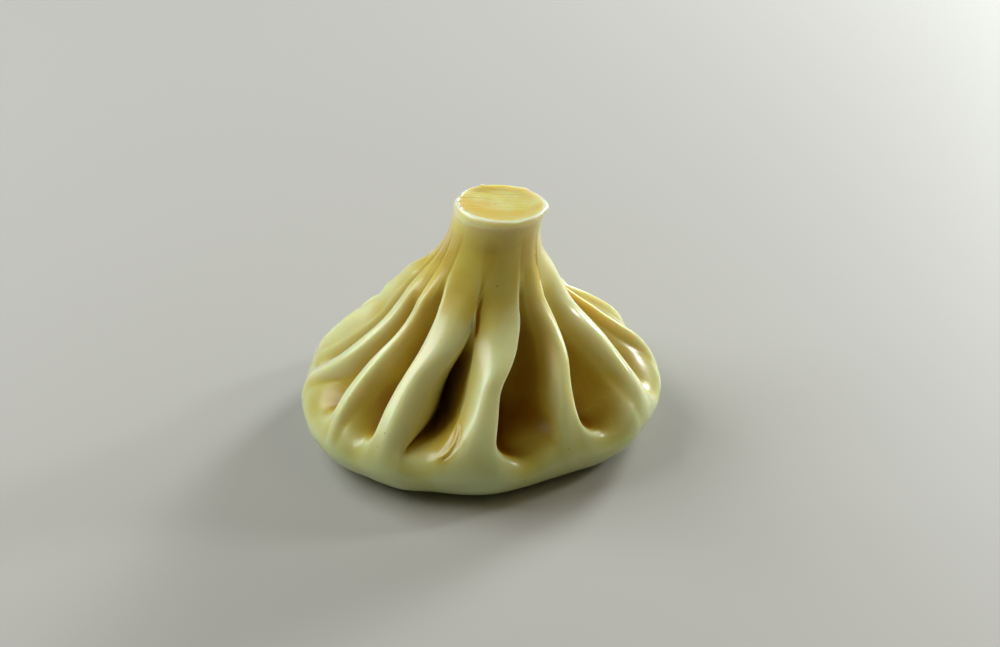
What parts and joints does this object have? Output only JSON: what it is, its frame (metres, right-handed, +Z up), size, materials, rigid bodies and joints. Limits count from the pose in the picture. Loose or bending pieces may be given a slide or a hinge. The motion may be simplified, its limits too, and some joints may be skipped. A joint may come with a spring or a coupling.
{
  "type": "khinkali dumpling",
  "caption": "Boiled khinkali dumpling: a round of dough gathered in deep pleats over its filling and pinched into a short cut stem, standing on a flat base.",
  "frame": {"origin": "on the table, under the middle of the dumpling's box", "axes": "+Z up through the stem, -Y towards the side with the broad front fold, +X to the right of it"},
  "size_m": [0.0796, 0.0764, 0.0552],
  "materials": {
    "dough": "smooth boiled wheat dough, pale butter yellow, slightly translucent, soft gloss"
  },
  "bodies": {
    "root": {"dumpling": "dough"}
  },
  "joints": []
}
